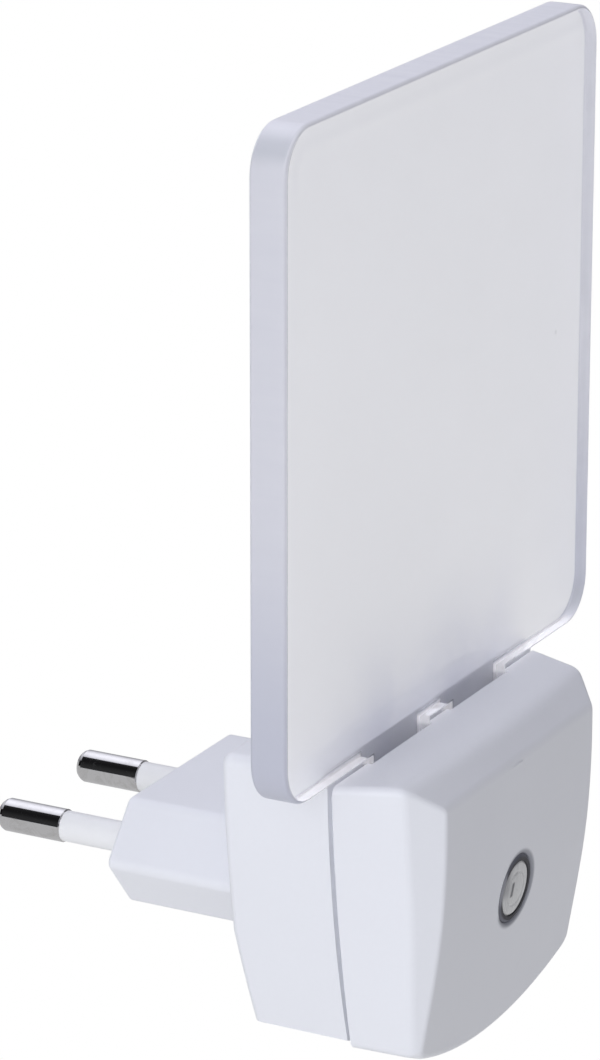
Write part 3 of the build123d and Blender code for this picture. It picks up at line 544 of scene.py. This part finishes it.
# -------------------------------------------------------------------- light panel
def panel():
    """The acrylic plate: rounded square with two tabs and their peg holes, edges softly broken."""
    lo, hi = (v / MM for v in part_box("light_panel"))
    x0, x1, z1, tab_z = lo.x, hi.x, hi.z, lo.z
    y0, y1 = lo.y, hi.y
    z0, r, tab_r = 19.2, 5.3, 0.8
    tab_in, tab_out = 2.6, 17.3
    pts = []

    def arc(cx, cz, rad, a0, a1, n):
        for k in range(n + 1):
            a = math.radians(a0 + (a1 - a0) * k / n)
            pts.append((cx + rad * math.cos(a), cz + rad * math.sin(a)))

    arc(x0 + r, z1 - r, r, 180, 90, 28)
    arc(x1 - r, z1 - r, r, 90, 0, 28)
    arc(x1 - r, z0 + r, r, 0, -90, 28)
    for s in (1, -1):
        a, b = (tab_out, tab_in) if s > 0 else (-tab_in, -tab_out)
        pts.append((a, z0))
        arc(a - tab_r, tab_z + tab_r, tab_r, 0, -90, 6)
        arc(b + tab_r, tab_z + tab_r, tab_r, -90, -180, 6)
        pts.append((b, z0))
    arc(x0 + r, z0 + r, r, -90, -180, 28)
    curve = bpy.data.curves.new("panel_outline", "CURVE")
    curve.dimensions = "2D"
    curve.fill_mode = "BOTH"
    loops = [pts] + [[(cx + 1.55 * math.cos(2 * math.pi * k / 40), 14.4 + 1.55 * math.sin(2 * math.pi * k / 40))
                      for k in range(40)] for cx in (-12.0, 12.0)]
    for loop in loops:
        s = curve.splines.new("POLY")
        s.points.add(len(loop) - 1)
        for p, (a, b) in zip(s.points, loop):
            p.co = (a * MM, b * MM, 0, 1)
        s.use_cyclic_u = True
    b = 0.5 * MM
    curve.extrude = (y1 - y0) / 2 * MM - b
    curve.bevel_depth = b
    curve.bevel_resolution = 6
    curve.offset = -b
    tmp = bpy.data.objects.new("panel_tmp", curve)
    scene.collection.objects.link(tmp)
    bpy.context.view_layer.update()
    mesh = bpy.data.meshes.new_from_object(tmp.evaluated_get(bpy.context.evaluated_depsgraph_get()))
    bpy.data.objects.remove(tmp)
    bpy.data.curves.remove(curve)
    mesh.transform(Matrix.Translation((0, (y0 + y1) / 2 * MM, 0)) @ Matrix.Rotation(math.radians(90), 4, "X"))
    bm = bmesh.new()
    bm.from_mesh(mesh)
    bmesh.ops.remove_doubles(bm, verts=bm.verts, dist=1e-7)
    bmesh.ops.recalc_face_normals(bm, faces=bm.faces)
    for f in bm.faces:
        f.smooth = abs(f.normal.y) < 0.999
        f.material_index = 0 if f.normal.y < -0.97 else 2 if f.normal.y > 0.97 else 1
    mesh.materials.clear()
    for part in ("front", "rim", "rear"):
        mesh.materials.append(ACRYLIC[part].m)
    bm.to_mesh(mesh)
    bm.free()
    obj = bpy.data.objects.new("light_panel_plate", mesh)
    scene.collection.objects.link(obj)
    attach(obj, "root")
    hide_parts("light_panel")
    return obj


plate = panel()


# -------------------------------------------------------------------------- stage
def floor():
    """Pale seamless floor. It lights the object softly from below and stays plain white for the camera."""
    mat = bpy.data.materials.new("floor")
    mat.use_nodes = True
    t = mat.node_tree
    t.nodes.clear()
    out = t.nodes.new("ShaderNodeOutputMaterial")
    path = t.nodes.new("ShaderNodeLightPath")
    lit, seen, mix = t.nodes.new("ShaderNodeEmission"), t.nodes.new("ShaderNodeEmission"), t.nodes.new("ShaderNodeMixShader")
    lit.inputs["Color"].default_value = (0.965, 0.97, 1.0, 1)
    seen.inputs["Color"].default_value = (1, 1, 1, 1)
    seen.inputs["Strength"].default_value = 1.0
    t.links.new(path.outputs["Is Camera Ray"], mix.inputs[0])
    glow = t.nodes.new("ShaderNodeMapRange")
    glow.inputs["To Min"].default_value, glow.inputs["To Max"].default_value = FLOOR_LIGHT, FLOOR_THROUGH
    t.links.new(path.outputs["Is Transmission Ray"], glow.inputs["Value"])
    t.links.new(glow.outputs[0], lit.inputs["Strength"])
    t.links.new(lit.outputs[0], mix.inputs[1])
    t.links.new(seen.outputs[0], mix.inputs[2])
    t.links.new(mix.outputs[0], out.inputs["Surface"])
    mesh = bpy.data.meshes.new("floor")
    s, z = 6.0, -0.11
    mesh.from_pydata([(-s, -s, z), (s, -s, z), (s, s, z), (-s, s, z)], [], [(0, 1, 2, 3)])
    mesh.materials.append(mat)
    obj = bpy.data.objects.new("floor", mesh)
    scene.collection.objects.link(obj)


FLOOR_LIGHT = 0.673       # radiance that lights the object
FLOOR_THROUGH = 0.78      # radiance seen through the acrylic
floor()


LAMPS = [((-0.96, -0.05, 0.25), 4.40, 9.0, (0.95, 0.972, 1.03)), ((0.45, 0.50, 0.74), 1.27, 4.6, (0.955, 0.965, 1.07)),
         ((0.0, 0.2, 0.98), 0.29, 4.0, (0.955, 0.965, 1.07))]
ROOM = (0.153, 0.152, 0.170)


def studio():
    """Soft studio light as a dark room with large soft lamps, (direction, strength, sharpness, colour), and a black flag
    behind the object on the left, which draws a dark band along the polished pins."""
    world = bpy.data.worlds.new("studio")
    world.use_nodes = True
    t = world.node_tree
    bg = t.nodes["Background"]
    co = t.nodes.new("ShaderNodeTexCoord").outputs["Generated"]

    def math_node(op, a, b=None):
        n = t.nodes.new("ShaderNodeMath")
        n.operation = op
        for i, v in enumerate((a, b)):
            if v is None:
                continue
            if isinstance(v, (int, float)):
                n.inputs[i].default_value = v
            else:
                t.links.new(v, n.inputs[i])
        return n.outputs[0]

    def step(value, a, b, lo, hi):
        n = t.nodes.new("ShaderNodeMapRange")
        for k, v in zip(("From Min", "From Max", "To Min", "To Max"), (a, b, lo, hi)):
            n.inputs[k].default_value = v
        t.links.new(value, n.inputs["Value"])
        return n.outputs[0]

    def vector(op, a, b):
        n = t.nodes.new("ShaderNodeVectorMath")
        n.operation = op
        for socket, v in zip(n.inputs, (a, b)):
            if isinstance(v, tuple):
                socket.default_value = v
            else:
                t.links.new(v, socket)
        return n.outputs["Vector"]

    total = None
    for d, strength, power, colour in LAMPS:
        dot = t.nodes.new("ShaderNodeVectorMath")
        dot.operation = "DOT_PRODUCT"
        dot.inputs[1].default_value = Vector(d).normalized()
        t.links.new(co, dot.inputs[0])
        glow = math_node("POWER", math_node("MAXIMUM", dot.outputs["Value"], 0.0), power)
        one = t.nodes.new("ShaderNodeVectorMath")
        one.operation = "SCALE"
        one.inputs[0].default_value = tuple(strength * k for k in colour)
        t.links.new(glow, one.inputs["Scale"])
        total = vector("ADD", total or ROOM, one.outputs["Vector"])
    sep = t.nodes.new("ShaderNodeSeparateXYZ")
    t.links.new(co, sep.inputs[0])
    flag = math_node("MULTIPLY", step(sep.outputs[0], -0.12, -0.09, 1.0, 0.0),
                     math_node("MULTIPLY", step(sep.outputs[1], 0.28, 0.34, 0.0, 1.0), step(sep.outputs[2], 0.0, 0.02, 0.0, 1.0)))
    t.links.new(total, bg.inputs["Color"])
    t.links.new(math_node("SUBTRACT", 1.0, math_node("MULTIPLY", flag, 0.97)), bg.inputs["Strength"])
    scene.world = world


studio()

# ------------------------------------------------------------------------- camera
cam = bpy.data.objects.new("camera", bpy.data.cameras.new("camera"))
scene.collection.objects.link(cam)
yaw, pitch, roll = 1.0825506, 0.3160094, 0.0009755
cy, sy, cp, sp = math.cos(yaw), math.sin(yaw), math.cos(pitch), math.sin(pitch)
F = Vector((sy * cp, cy * cp, -sp))
R = Vector((cy, -sy, 0))
U = R.cross(F)
R, U = math.cos(roll) * R + math.sin(roll) * U, -math.sin(roll) * R + math.cos(roll) * U
at = Vector((-0.46943, -0.26548, 0.21205))
cam.matrix_world = Matrix(((R.x, U.x, -F.x, at.x), (R.y, U.y, -F.y, at.y), (R.z, U.z, -F.z, at.z), (0, 0, 0, 1)))
cam.data.sensor_width = 36
cam.data.sensor_fit = "AUTO"
cam.data.lens = 164.97
cam.data.clip_start, cam.data.clip_end = 0.05, 30
scene.camera = cam

scene.view_settings.view_transform = "Standard"
scene.cycles.use_denoising = True
scene.cycles.max_bounces = 16
scene.cycles.transmission_bounces = 16
scene.cycles.transparent_max_bounces = 12
scene.cycles.glossy_bounces = 6
scene.cycles.diffuse_bounces = 5
